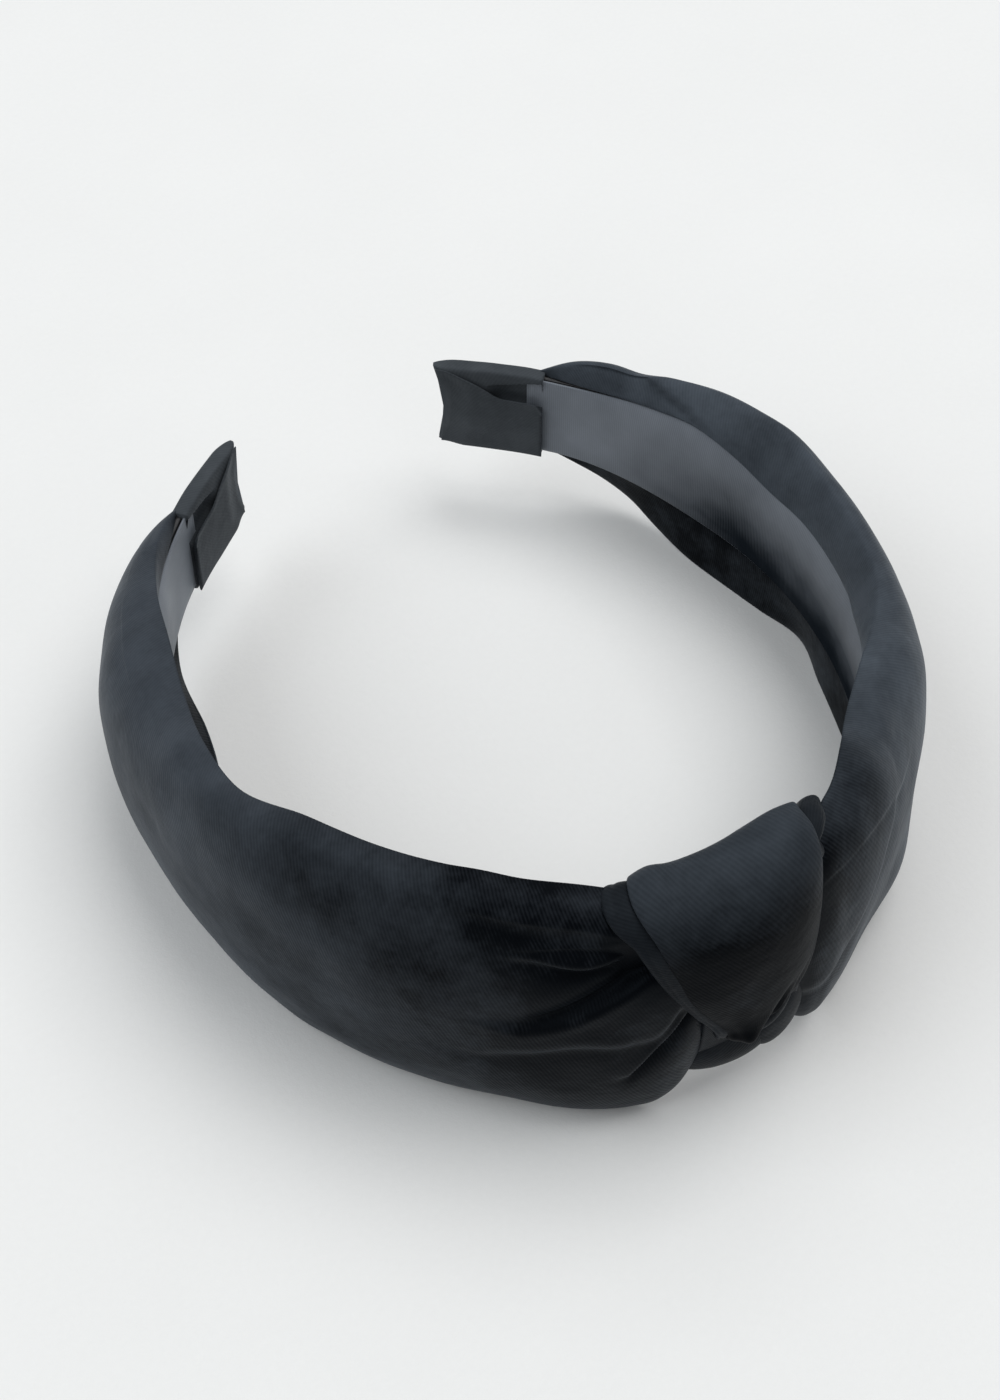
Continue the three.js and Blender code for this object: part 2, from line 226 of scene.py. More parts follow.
class Nodes:
    """A material's node tree with short calls for making and joining nodes."""

    def __init__(self, name):
        self.material = bpy.data.materials.new(name)
        self.material.use_nodes = True
        self.tree = self.material.node_tree
        self.tree.nodes.clear()
        self.shader = self.add("ShaderNodeBsdfPrincipled")
        self.add("ShaderNodeOutputMaterial", dict(Surface=self.shader.outputs["BSDF"]))
        self.place = self.add("ShaderNodeTexCoord").outputs["Object"]

    def add(self, kind, inputs=None, **settings):
        """A new node with its settings made and its inputs fed."""
        node = self.tree.nodes.new(kind)
        for key, value in settings.items():
            setattr(node, key, value)
        self.feed(node, inputs or {})
        return node

    def feed(self, node, inputs):
        """Link each of a node's inputs to another node's output, or set it to a plain value."""
        for key, value in inputs.items():
            if isinstance(value, bpy.types.NodeSocket):
                self.tree.links.new(value, node.inputs[key])
            else:
                node.inputs[key].default_value = value

    def noise(self, scale, detail=3.0, roughness=0.55):
        """Noise with scale waves in a metre."""
        inputs = dict(Vector=self.place, Scale=scale, Detail=detail, Roughness=roughness)
        return self.add("ShaderNodeTexNoise", inputs).outputs["Fac"]

    def ramp(self, factor, *stops):
        """A colour ramp through two (position, colour) stops."""
        node = self.add("ShaderNodeValToRGB", dict(Fac=factor))
        for element, (position, colour) in zip(node.color_ramp.elements, stops):
            element.position = position
            element.color = (*colour, 1.0)
        return node.outputs["Color"]

    def math(self, operation, a, b=0.0):
        return self.add("ShaderNodeMath", {0: a, 1: b}, operation=operation).outputs[0]

    def map_range(self, value, to_low, to_high, from_low=0.0, from_high=1.0):
        inputs = {"Value": value, "From Min": from_low, "From Max": from_high,
                  "To Min": to_low, "To Max": to_high}
        return self.add("ShaderNodeMapRange", inputs).outputs["Result"]

    def bump(self, height, distance, strength, under=None):
        """A bumped normal, on top of another bump if one is given."""
        inputs = dict(Height=height, Distance=distance, Strength=strength)
        if under is not None:
            inputs["Normal"] = under
        return self.add("ShaderNodeBump", inputs).outputs["Normal"]


def cloth_axes(nodes):
    """The cloth's uv plane in millimetres, as separate outputs named X and Y."""
    uv = nodes.add("ShaderNodeUVMap", uv_map="cloth")
    return nodes.add("ShaderNodeSeparateXYZ", dict(Vector=uv.outputs["UV"])).outputs


WAVE_TURN = 20.0  # radians by which Blender's wave texture turns per unit at scale 1


def twill_ribs(nodes, pitch, angle):
    """A wave across the cloth's uv plane: ribs at an angle, pitch millimetres apart."""
    uv = nodes.add("ShaderNodeUVMap", uv_map="cloth")
    rotation = (0.0, 0.0, math.radians(angle))
    turned = nodes.add("ShaderNodeMapping", dict(Vector=uv.outputs["UV"], Rotation=rotation))
    inputs = {"Vector": turned.outputs["Vector"], "Scale": 2 * math.pi / (WAVE_TURN * pitch),
              "Distortion": 0.6, "Detail": 1.0, "Detail Scale": 0.6}
    settings = dict(wave_type="BANDS", bands_direction="X")
    return nodes.add("ShaderNodeTexWave", inputs, **settings).outputs["Fac"]


COOL_SHEEN = (0.70, 0.84, 1.0, 1.0)
LINT_COLOUR = (0.30, 0.29, 0.25, 1.0)
LINT_PER_METRE = 38.0
LINT_RADIUS = 0.013  # as a share of the spacing between the specks


def lint(nodes, colour):
    """The colour with a few pale specks of lint, a fraction of a millimetre across, on it."""
    cells = nodes.add("ShaderNodeTexVoronoi", dict(Vector=nodes.place, Scale=LINT_PER_METRE))
    speck = nodes.math("LESS_THAN", cells.outputs["Distance"], LINT_RADIUS)
    mix = nodes.add("ShaderNodeMix", dict(Factor=speck, A=colour, B=LINT_COLOUR), data_type="RGBA")
    return mix.outputs["Result"]


def twill_satin(name, dark, light, roughness, rib_angle=38, sheen=0.07, specular=0.09, painted_shading=()):
    """Black satin with a fine diagonal rib, cloudy colour, a few specks and a soft sheen.

    Each row shifts the tone from the first to the second value of shift over a stretch of the cloth, in
    millimetres along one axis of its uv plane: painted light and shade, darker where shade falls and
    paler where light falls.
    """
    nodes = Nodes(name)
    ribs = twill_ribs(nodes, pitch=0.6, angle=rib_angle)
    cloud = nodes.noise(55.0, detail=4.0)
    tone = nodes.math("MULTIPLY", cloud, 0.62)
    # finer sources, each with its share of the tone
    for source, share in ((nodes.noise(210.0), 0.20), (nodes.noise(900.0), 0.14), (ribs, 0.06)):
        tone = nodes.math("ADD", tone, nodes.math("MULTIPLY", source, share))
    axes = cloth_axes(nodes)
    # painted light and shade: each row shifts the tone along the cloth
    for row in painted_shading:
        along = nodes.math("ABSOLUTE", axes[row["axis"]])
        tone = nodes.math("ADD", tone, nodes.map_range(along, *row["shift"], *row["over"]))
    wrinkles = nodes.bump(nodes.noise(160.0, detail=5.0), 0.0006, 0.5)
    nodes.feed(nodes.shader, {
        "Base Color": lint(nodes, nodes.ramp(tone, (0.30, dark), (0.85, light))),
        "Roughness": nodes.map_range(cloud, roughness[1], roughness[0]),
        "Normal": nodes.bump(ribs, 0.00006, 0.35, wrinkles),
        "Sheen Weight": sheen,
        "Sheen Roughness": 0.35,
        "Sheen Tint": COOL_SHEEN,
        "Specular Tint": COOL_SHEEN,
        "IOR": 1.33,
        "Specular IOR Level": specular,
    })
    return nodes.material


def ribbon_satin():
    """The lining: a grey satin ribbon with fine cross ribs, with painted shade along its lower edge
    towards the crown: darker there, and with less specular and sheen."""
    nodes = Nodes("lining_ribbon")
    ribs = twill_ribs(nodes, pitch=0.45, angle=0)
    cloud = nodes.noise(70.0)
    tone = nodes.math("ADD", nodes.map_range(cloud, 0.33, 0.73), nodes.math("MULTIPLY", ribs, 0.12))
    axes = cloth_axes(nodes)
    near_crown = nodes.map_range(axes["X"], 1.0, 0.0, 125.0, 168.0)
    near_edge = nodes.map_range(axes["Y"], 0.62, 0.0, 3.0, 24.0)
    # painted shade: darkest along the lower edge near the crown, and duller there too
    painted_shade = nodes.math("MULTIPLY", near_crown, near_edge)
    tone = nodes.math("SUBTRACT", tone, painted_shade)
    nodes.feed(nodes.shader, {
        "Base Color": nodes.ramp(tone, (0.0, (0.010, 0.013, 0.017)), (0.75, (0.225, 0.245, 0.275))),
        "Roughness": nodes.map_range(cloud, 0.5, 0.38),
        "Normal": nodes.bump(ribs, 0.00003, 0.6),
        "Specular IOR Level": nodes.map_range(painted_shade, 0.16, 0.0, 0.0, 0.4),
        "Sheen Weight": nodes.map_range(painted_shade, 0.05, 0.0, 0.0, 0.4),
        "Sheen Tint": COOL_SHEEN,
        "Specular Tint": COOL_SHEEN,
    })
    return nodes.material


def hoop_plastic():
    """The core: black plastic, slightly uneven in gloss."""
    nodes = Nodes("hoop_plastic")
    speck = nodes.noise(400.0)
    nodes.feed(nodes.shader, {
        "Base Color": nodes.ramp(speck, (0.3, (0.010, 0.010, 0.011)), (0.8, (0.022, 0.022, 0.024))),
        "Roughness": nodes.map_range(speck, 0.3, 0.5),
    })
    return nodes.material


def felt():
    """The padding: matt dark fibres."""
    nodes = Nodes("padding_felt")
    fibre = nodes.noise(1500.0, detail=6.0, roughness=0.7)
    nodes.feed(nodes.shader, {
        "Base Color": nodes.ramp(fibre, (0.3, (0.015, 0.015, 0.016)), (0.8, (0.05, 0.05, 0.052))),
        "Normal": nodes.bump(fibre, 0.0003, 0.7),
        "Roughness": 0.95,
    })
    return nodes.material


def pale_floor():
    """A matt, nearly white floor with faint clouds and a fine speckle."""
    nodes = Nodes("floor")
    cloud = nodes.noise(14.0, detail=5.0)
    speckle = nodes.noise(700.0, detail=4.0, roughness=0.7)
    tone = nodes.math("ADD", nodes.math("MULTIPLY", cloud, 0.6), nodes.math("MULTIPLY", speckle, 0.4))
    nodes.feed(nodes.shader, {
        "Base Color": nodes.ramp(tone, (0.3, (0.84, 0.84, 0.825)), (0.75, (0.88, 0.88, 0.865))),
        "Normal": nodes.bump(speckle, 0.0002, 0.35),
        "Roughness": 0.85,
        "Specular IOR Level": 0.2,
    })
    return nodes.material


DEEP_BLACK = (0.0014, 0.0018, 0.0026)
SATIN_ROUGHNESS = (0.36, 0.5)
KNOT_PAINTED_SHADE = (-0.24, 0.20)  # painted shade, deepest black near the knot, and painted light, palest along the arms
INNER_LAYER = (60.0, 70.0)  # how far around a wing, in millimetres, its inner layer begins
# painted shade: the inner layer, which faces into the hoop, is darker
INNER_PAINTED_SHADE = (0.0, -0.36)
# painted light and shade: the knot's satin is paler over its top and darker down its front
KNOT_SATIN = twill_satin("knot_satin", DEEP_BLACK, (0.042, 0.050, 0.060), SATIN_ROUGHNESS,
                         rib_angle=22, sheen=0.015, specular=0.05,
                         painted_shading=[dict(axis="Y", over=(46.0, 22.0), shift=KNOT_PAINTED_SHADE)])
FOLD_SATIN = twill_satin("fold_satin", DEEP_BLACK, (0.022, 0.026, 0.031), SATIN_ROUGHNESS,
                         rib_angle=50, sheen=0.015, specular=0.08)
# painted light: the right wing is the same satin as the left, given a lighter colour for its lit side
WING_SATIN = {
    "left": twill_satin("left_wing_satin", DEEP_BLACK, (0.052, 0.061, 0.073), SATIN_ROUGHNESS,
                        rib_angle=30, painted_shading=[dict(axis="X", over=(35.0, 100.0), shift=KNOT_PAINTED_SHADE),
                                             dict(axis="Y", over=INNER_LAYER, shift=INNER_PAINTED_SHADE)]),
    "right": twill_satin("right_wing_satin", DEEP_BLACK, (0.066, 0.078, 0.093), SATIN_ROUGHNESS,
                         rib_angle=60, painted_shading=[dict(axis="Y", over=(0.0, 60.0), shift=KNOT_PAINTED_SHADE),
                                              dict(axis="X", over=INNER_LAYER, shift=INNER_PAINTED_SHADE)]),
}
WRAP_SATIN = twill_satin("wrap_satin", (0.034, 0.039, 0.044), (0.088, 0.097, 0.106), (0.42, 0.56))
LINING = ribbon_satin()
PLASTIC = hoop_plastic()
FELT = felt()

# ---- Wings

# Each row is one station of a wing's cross-section, as (out, z) points: the hem is its lowest
# fold, the front its most proud point, the crest its highest fold, and the lips are where the
# cloth comes in towards the core's edges.
#     s    hem          front       crest         upper lip     lower lip
LEFT_WING = [
    (7, (4.0, 18.0), (5.2, 30.0), (2.0, 45.0), (2.6, 41.0), (3.2, 22.0)),
    (9, (4.2, 12.0), (7.0, 30.0), (0.5, 49.0), (1.6, 43.0), (3.0, 17.0)),
    (11, (4.2, 7.0), (8.0, 30.0), (-1.0, 52.0), (0.8, 45.0), (2.8, 13.0)),
    (14, (3.8, 2.6), (8.6, 30.0), (-2.2, 54.4), (0.0, 46.0), (2.4, 10.0)),
    (18, (3.0, 0.5), (8.8, 30.0), (-3.2, 56.0), (-0.6, 47.0), (2.0, 9.0)),
    (24, (2.0, 0.0), (8.8, 30.0), (-4.0, 57.2), (-1.2, 48.0), (1.6, 8.5)),
    (31, (0.6, 0.0), (8.3, 28.0), (-4.6, 58.2), (-2.0, 48.0), (1.0, 8.0)),
    (38, (-0.6, 0.0), (7.5, 25.0), (-5.0, 58.6), (-2.2, 48.0), (0.5, 8.0)),
    (50, (-0.6, 0.0), (6.8, 24.0), (-5.2, 58.2), (-2.4, 47.5), (0.2, 8.0)),
    (64, (-0.4, 0.0), (6.8, 25.0), (-4.8, 56.8), (-2.2, 46.5), (0.2, 8.0)),
    (78, (0.2, 0.0), (7.3, 26.0), (-4.0, 55.0), (-1.6, 45.5), (0.2, 8.0)),
    (92, (0.0, 0.0), (7.8, 26.0), (-1.6, 52.4), (-0.6, 44.0), (0.0, 8.0)),
    (105, (-1.0, 0.0), (8.3, 25.0), (-2.6, 50.2), (-0.8, 43.0), (-0.6, 8.0)),
    (120, (-5.0, 0.2), (9.3, 24.0), (-4.4, 47.6), (-2.4, 38.8), (-2.2, 9.0)),
    (136, (-9.6, 1.0), (10.1, 27.0), (-4.6, 45.6), (-2.4, 38.6), (-3.6, 9.5)),
    (150, (-7.5, 2.5), (8.9, 27.0), (-2.6, 43.2), (-2.0, 37.8), (-2.6, 10.0)),
    (162, (-1.5, 7.0), (7.0, 26.0), (-0.6, 40.6), (-1.6, 36.6), (0.4, 12.5)),
    (171, (0.5, 12.0), (4.8, 26.0), (0.4, 38.4), (-1.0, 36.0), (0.9, 14.5)),
    (179, (0.6, 15.6), (2.0, 25.5), (0.6, 35.4), (0.9, 34.9), (0.9, 16.1)),
]
RIGHT_WING = [
    (8, (4.0, 16.0), (5.0, 30.0), (1.6, 46.0), (2.2, 42.0), (3.2, 21.0)),
    (10, (4.2, 11.4), (5.8, 24.0), (0.6, 48.4), (1.4, 43.0), (3.0, 17.0)),
    (12, (4.3, 8.4), (6.8, 18.0), (-0.6, 50.6), (0.8, 44.0), (2.8, 14.0)),
    (15, (4.0, 5.6), (7.3, 18.0), (-2.0, 53.0), (0.2, 45.5), (2.6, 12.0)),
    (19, (3.2, 2.6), (6.9, 21.0), (-3.4, 54.6), (-0.6, 46.5), (2.2, 10.0)),
    (25, (1.6, 0.4), (6.8, 24.0), (-4.4, 55.4), (-1.6, 47.0), (1.4, 9.0)),
    (34, (0.2, 0.0), (6.4, 26.0), (-6.6, 54.4), (-3.2, 46.5), (0.6, 8.5)),
    (44, (0.6, 0.0), (6.0, 25.0), (-8.2, 51.8), (-4.8, 45.0), (0.6, 8.0)),
    (54, (0.8, 0.0), (6.1, 25.0), (-8.0, 50.6), (-5.4, 44.5), (0.6, 8.0)),
    (62, (0.4, 0.0), (6.8, 26.0), (-6.6, 50.0), (-5.8, 44.6), (0.4, 8.0)),
    (68, (0.0, 0.0), (7.2, 28.0), (-4.6, 49.4), (-5.6, 44.0), (0.2, 8.0)),
    (76, (-0.5, 0.0), (7.2, 29.0), (-2.0, 48.2), (-4.8, 41.4), (0.0, 8.0)),
    (86, (-1.0, 0.0), (7.2, 29.0), (0.2, 46.8), (-3.6, 38.8), (-0.4, 8.0)),
    (98, (-0.4, 0.0), (7.4, 29.0), (1.4, 45.8), (-2.8, 37.4), (-0.4, 8.0)),
    (110, (1.8, 0.0), (7.8, 29.0), (2.4, 45.8), (-2.3, 36.8), (0.4, 8.0)),
    (120, (-0.6, 0.0), (8.0, 29.0), (3.2, 46.2), (-2.5, 36.4), (-0.4, 8.0)),
    (130, (-1.6, 0.0), (8.0, 29.0), (3.6, 45.4), (-2.3, 37.6), (-0.8, 8.5)),
    (143, (-1.0, 0.6), (8.0, 29.0), (3.8, 43.6), (-1.9, 38.6), (-0.4, 9.0)),
    (152, (1.4, 2.0), (7.7, 28.5), (2.8, 42.4), (-1.8, 37.6), (0.7, 9.8)),
    (158, (3.0, 4.4), (7.2, 28.2), (1.8, 40.6), (-1.7, 37.0), (1.4, 11.0)),
    (164, (2.9, 7.6), (6.4, 27.9), (1.2, 40.6), (-1.6, 36.5), (1.6, 12.4)),
    (171, (1.6, 11.6), (5.0, 27.0), (0.8, 39.6), (-1.0, 36.0), (1.2, 14.2)),
    (179, (0.6, 15.6), (2.0, 25.5), (0.6, 35.4), (0.9, 34.9), (0.9, 16.1)),
]

# A fold runs out of the knot along a line of (s, z) points. The cloth on its proud side (above
# the line for 1, below it for -1) rolls over a valley on the other side, which is so deep and
# flattens out again over its reach. The step between the two sides is sharp millimetres wide.
# The fold fades away between the two distances of its fade.
LEFT_FOLDS = [
    dict(line=[(17, 51.0), (21, 52.4), (28, 54.2), (38, 54.8)], proud=1, roll=0.7, depth=3.4,
         reach=2.4, sharp=0.35, fade=(34, 50)),
    dict(line=[(16, 50.6), (20, 49.6), (27, 48.2), (35, 49.4)], proud=1, roll=0.8, depth=3.0,
         reach=3.2, sharp=0.4, fade=(28, 42)),
    dict(line=[(14, 48.0), (18, 46.4), (23, 42.4), (29, 37.6), (36, 33.0)], proud=-1, roll=1.0,
         depth=4.0, reach=3.6, sharp=0.5, fade=(24, 46)),
    dict(line=[(13, 36.6), (15.3, 31.4), (20, 29.6), (28, 29.4), (35, 26.0), (42, 23.0)], proud=1,
         roll=0.5, depth=1.5, reach=5.0, sharp=0.9, fade=(30, 52)),
    dict(line=[(10, 35.0), (12.5, 32.0), (14, 29.0), (16.5, 25.0), (20, 19.0)], proud=1, roll=0.4,
         depth=2.8, reach=1.8, sharp=0.4, fade=(16, 23)),
]
RIGHT_FOLDS = [
    dict(line=[(10, 50.0), (13, 50.0), (17, 48.5), (22, 50.0), (29, 55.0)], proud=-1, roll=0.5,
         depth=0.5, reach=6.0, sharp=1.5, fade=(20, 36)),
    dict(line=[(14, 20.0), (24, 27.0), (31, 35.0), (42, 48.0)], proud=1, roll=0.9, depth=1.3,
         reach=6.0, sharp=1.5, fade=(34, 60)),
]
# The same kind of folds on the inner layer, between the core's upper edge and the crest.
RIGHT_INNER_FOLDS = [
    dict(line=[(138, 38.4), (143, 39.4), (157, 41.6), (160, 42.2)], proud=1, roll=0.7, depth=1.1,
         reach=3.0, sharp=0.25, fade=(190, 200)),
]
# Soft swellings of a wing's face: the middle, how far it stands out, and its spreads in s and z.
LEFT_SWELLS = [dict(s=58, z=36, height=0.5, spread=(14, 9))]
RIGHT_SWELLS = [
    dict(s=48, z=11, height=1.7, spread=(9, 7)),
    dict(s=30, z=12, height=-0.8, spread=(7, 8)),
]

UPPER_ROUNDNESS = 2.3  # of the front's curves: 2 is an ellipse
LOWER_ROUNDNESS = 2.0
CORE_CLEARANCE = 0.3  # between the cloth and the core's long edges
DEEPEST_VALLEY = 3.8  # folds never press a wing's front further in than this, as out
ROLL_SPREAD = 2.5  # how far from its line a fold's roll stands out
WAVES = ((0.75, 0.030, 0), (0.32, 0.011, 9))  # height in mm, size in m, and added to the seed
CREST_WANDER = (1.1, 0.014)  # height in mm and size in m
BACK_OUT = 2.7  # where the inner layer lies over the padding
BACK_SETTLES = 1.75  # how much nearer to the core it lies where the padding has ended
BACK_ROUND = 3.0  # how far the bends around the core's edges reach over its face
LIP_GAP = 0.6  # these bends stay this far inside the crest and the hem
LOWEST = 0.05  # the wings stay this far above the floor
WING_ROWS = 330
ROW_CROWDING = 1.5  # how strongly the rows crowd towards the knot: 1 is evenly spaced
FRONT_COLUMNS = 160
BACK_COLUMNS = 56
WING_END = WRAP_START + 1.6


def wing_keys(stations, s):
    """The five named points of the cross-section at every s, each as arrays (out, z)."""
    names = ("hem", "front", "crest", "upper_lip", "lower_lip")
    points = {}
    for column, name in enumerate(names, start=1):
        keys = [dict(s=row[0], out=row[column][0], z=row[column][1]) for row in stations]
        points[name] = np.stack([smooth_key(keys, "out", s), smooth_key(keys, "z", s)], axis=-1)
    return points


def superellipse(start, end, turn, roundness):
    """Points on a rounded quarter that runs from start (turn 0) to end (turn 1)."""
    angle = turn * np.pi / 2
    lean = np.cos(angle) ** (2 / roundness)
    rise = np.sin(angle) ** (2 / roundness)
    out = end[..., 0:1] + (start[..., 0:1] - end[..., 0:1]) * lean
    z = start[..., 1:2] + (end[..., 1:2] - start[..., 1:2]) * rise
    return out, z


def spline(points, count):
    """count points on a smooth curve through points[:, k], without its two outer guides."""
    at = np.linspace(0, points.shape[1] - 3, count)
    i = np.minimum(at.astype(int), points.shape[1] - 4)
    t = (at - i)[None, :, None]
    p0, p1, p2, p3 = (points[:, i + k] for k in range(4))
    return 0.5 * (
        2 * p1 + (p2 - p0) * t
        + (2 * p0 - 5 * p1 + 4 * p2 - p3) * t**2
        + (3 * p1 - p0 - 3 * p2 + p3) * t**3
    )


def wing_front(points):
    """The outer layer from the hem over the front to the crest."""
    half = FRONT_COLUMNS // 2
    turn = np.linspace(0, 1, half)[None, :]
    low_out, low_z = superellipse(points["front"], points["hem"], turn, LOWER_ROUNDNESS)
    high_out, high_z = superellipse(points["front"], points["crest"], turn, UPPER_ROUNDNESS)
    out = np.concatenate([low_out[:, ::-1], high_out[:, 1:]], axis=1)
    z = np.concatenate([low_z[:, ::-1], high_z[:, 1:]], axis=1)
    return out, z


def wing_back(points, s):
    """The inner layer from the crest down past the core's edges to the hem."""
    back = BACK_OUT - BACK_SETTLES * smoothstep(150, 165, s)
    reach = half_width(s) + CORE_CLEARANCE
    top = np.minimum(MID_HEIGHT + reach, points["crest"][:, 1] - LIP_GAP)
    bottom = np.maximum(MID_HEIGHT - reach, points["hem"][:, 1] + LIP_GAP)
    over_core = np.stack([0.2 * back, top], axis=-1)
    high_back = np.stack([back, top - BACK_ROUND], axis=-1)
    low_back = np.stack([back, bottom + BACK_ROUND], axis=-1)
    under_core = np.stack([0.2 * back, bottom], axis=-1)
    crest, hem = points["crest"], points["hem"]
    upper, lower = points["upper_lip"], points["lower_lip"]
    # guides for the curve's direction at both ends
    before = np.stack([crest[:, 0] + 2.0, upper[:, 1]], axis=-1)
    after = np.stack([hem[:, 0] + 2.0, lower[:, 1]], axis=-1)
    path = [before, crest, upper, over_core, high_back, low_back, under_core, lower, hem, after]
    curve = spline(np.stack(path, axis=1), BACK_COLUMNS)
    return curve[..., 0], curve[..., 1]


def fold_height(folds, swells, s, z):
    """How far the folds and swells stand out of the wing's plain face."""
    height = np.zeros_like(z)
    for fold in folds:
        keys = [dict(s=at, z=level) for at, level in fold["line"]]
        above = fold["proud"] * (z - smooth_key(keys, "z", s))
        proud = 1 / (1 + np.exp(-above / fold["sharp"]))
        rolled = fold["roll"] * np.exp(-np.abs(above) / ROLL_SPREAD)
        valley = fold["depth"] * np.exp(-np.abs(above) / fold["reach"])
        fade = 1 - smoothstep(*fold["fade"], s)
        height += fade * (proud * rolled - (1 - proud) * valley)
    for swell in swells:
        along = (s - swell["s"]) / swell["spread"][0]
        across = (z - swell["z"]) / swell["spread"][1]
        height += swell["height"] * np.exp(-(along**2) - across**2)
    return height


def shaped_front(side, s, points, calm, folds, swells, seed):
    """The outer layer with its waves, folds and swells. It moves along its own normal, and is
    held still at both folded edges."""
    out, z = wing_front(points)
    run_out, run_z = np.gradient(out, axis=1), np.gradient(z, axis=1)
    run = np.hypot(run_out, run_z) + 1e-9
    middle = np.sin(np.pi * np.linspace(0, 1, out.shape[1]))[None, :]
    hold = smoothstep(0.0, 0.22, middle)
    place = hoop_point(side * s, out, z)
    waves = sum(high * cloth_noise(place, size, seed + more) for high, size, more in WAVES)
    height = calm * hold * (waves + fold_height(folds, swells, s, z))
    shaped_out = np.maximum(out + height * run_z / run, np.minimum(out, DEEPEST_VALLEY))
    return shaped_out, z - height * run_out / run


def shaped_back(s, points, calm, folds):
    """The inner layer, with folds that run from the core's upper edge over the crest."""
    out, z = wing_back(points, s[:, 0])
    core_top = MID_HEIGHT + half_width(s)
    above_core = smoothstep(core_top, core_top + 2.0, z)
    return out - calm * above_core * fold_height(folds, [], s, z), z


def wing(label, side, stations, folds, inner_folds, swells, seed):
    """A wing: a flattened tube of cloth that wraps the core and opens out of the knot."""
    first = stations[0][0]
    s = first + (WING_END - first) * np.linspace(0, 1, WING_ROWS)[:, None] ** ROW_CROWDING
    points = wing_keys(stations, s[:, 0])
    # the wrap at the tip holds the cloth flat
    calm = 1 - smoothstep(WRAP_START - 12, WRAP_START - 2, s)
    out, z = shaped_front(side, s, points, calm, folds, swells, seed)
    back_out, back_z = shaped_back(s, points, calm, inner_folds)

    # let the crest wander a little
    high, size = CREST_WANDER
    wander = high * calm * cloth_noise(hoop_point(side * s, 0.0, 30.0), size, seed + 4)
    z = z + wander * smoothstep(MID_HEIGHT, 50.0, z)
    back_z = back_z + wander * smoothstep(MID_HEIGHT + 12, 50.0, back_z)

    front_layer = hoop_point(side * s, out, np.maximum(z, LOWEST))
    back_layer = hoop_point(side * s, back_out, np.maximum(back_z, LOWEST))
    rings = np.concatenate([front_layer, back_layer[:, 1:-1]], axis=1)
    piece = tube(f"wing_{label}_cloth", rings, mirrored=side > 0)
    finish_piece(piece, WING_SATIN[label], [f"wing_{label}", f"throat_{label}"])
    bend_with_arm(piece, side)


BLEND_FROM = 14.0  # where along the hoop an arm's bend would start; no bend is set up
BLEND_TO = 72.0  # and where it would end


def bend_with_arm(piece, side):
    """Bake a piece's placement into its mesh. The points where its bend would start and end are found,
    but nothing makes it bend.
    """
    start = hoop_point(side * BLEND_FROM, 0.0, MID_HEIGHT)
    end = hoop_point(side * BLEND_TO, 0.0, MID_HEIGHT)
    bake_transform(piece)


# ---- Core, lining and padding

STRIP_STEP = 1.5
STRIP_EDGE = 0.12  # how far the long edges are rounded
LINING_END = WRAP_START + 3.4
# Each strip's name and its ending, its inner and outer face (as out), where it ends near the
# tips, how far its long edges are inset from the core's, and how far its faces bow inwards.
CORE_STRIP = dict(name="core", ending="strip", faces=(-0.8, 0.8), end=HALF_LENGTH - 5.0,
                  inset=0.0, bow=0.0, material=PLASTIC, slot="hoop_plastic")
PADDING_STRIP = dict(name="padding", ending="strip", faces=(1.1, 2.1), end=155,
                     inset=2.2, bow=0.0, material=FELT, slot="padding_felt")
LINING_STRIP = dict(name="lining", ending="ribbon", faces=(-1.6, -1.1), end=LINING_END,
                    inset=0.0, bow=1.5, material=LINING, slot="lining_ribbon")
BOW_FADE = (150, 172)  # where along the hoop the bow flattens out towards the tips
BOW_RIDGE = 0.45  # where a bowed face stands out most, from -1 at its lower edge to 1
HALF_OVERLAP = 3.0  # how far each half of a strip reaches past the middle of the crown
OVERLAP_SUNK = 0.1  # how far its faces and edges have sunk in there


def strip_outline(inner, outer):
    """A strip's cross-section with rounded long edges, as out and level, which goes from -1 at
    its lower edge to 1."""
    face = list(np.linspace(-0.98, 0.98, 13))
    outline = [(inner, level) for level in face]
    outline += [(inner + STRIP_EDGE, 1), (outer - STRIP_EDGE, 1)]
    outline += [(outer, level) for level in reversed(face)]
    outline += [(outer - STRIP_EDGE, -1), (inner + STRIP_EDGE, -1)]
    out, level = np.array(outline).T
    return out[None, :], level[None, :]


def strip_rings(strip, side):
    """Rings of one half of a strip, with its faces bowed inwards. It starts past the middle of
    the crown and thins out there, inside the other half."""
    s_from, s_to = -side * HALF_OVERLAP, side * strip["end"]
    count = int(abs(s_to - s_from) / STRIP_STEP) + 2
    s = np.linspace(s_from, s_to, count)[:, None]
    inner, outer = strip["faces"]
    out, level = strip_outline(inner, outer)
    from_ridge = np.where(level > BOW_RIDGE, (level - BOW_RIDGE) / (1 - BOW_RIDGE),
                          (level - BOW_RIDGE) / (1 + BOW_RIDGE))
    past_middle = np.clip(-s * side, 0, HALF_OVERLAP) / HALF_OVERLAP
    out = out + OVERLAP_SUNK * past_middle * np.sign((inner + outer) / 2 - out)
    fade = 1 - smoothstep(*BOW_FADE, np.abs(s))
    out = out - strip["bow"] * fade * (1 - from_ridge**2)
    half = half_width(s) - strip["inset"] - OVERLAP_SUNK * past_middle
    return hoop_point(s, out, MID_HEIGHT + half * level)


def strip_half(strip, label, side):
    """One half of a strip. The left half also stands for the crown's node."""
    name = strip["name"]
    piece = tube(f"{name}_{label}_{strip['ending']}", strip_rings(strip, side))
    nodes = [f"{name}_{label}"]
    if label == "left":
        nodes.append(f"{name}_crown")
    finish_piece(piece, strip["material"], nodes)
    bend_with_arm(piece, side)
    return piece


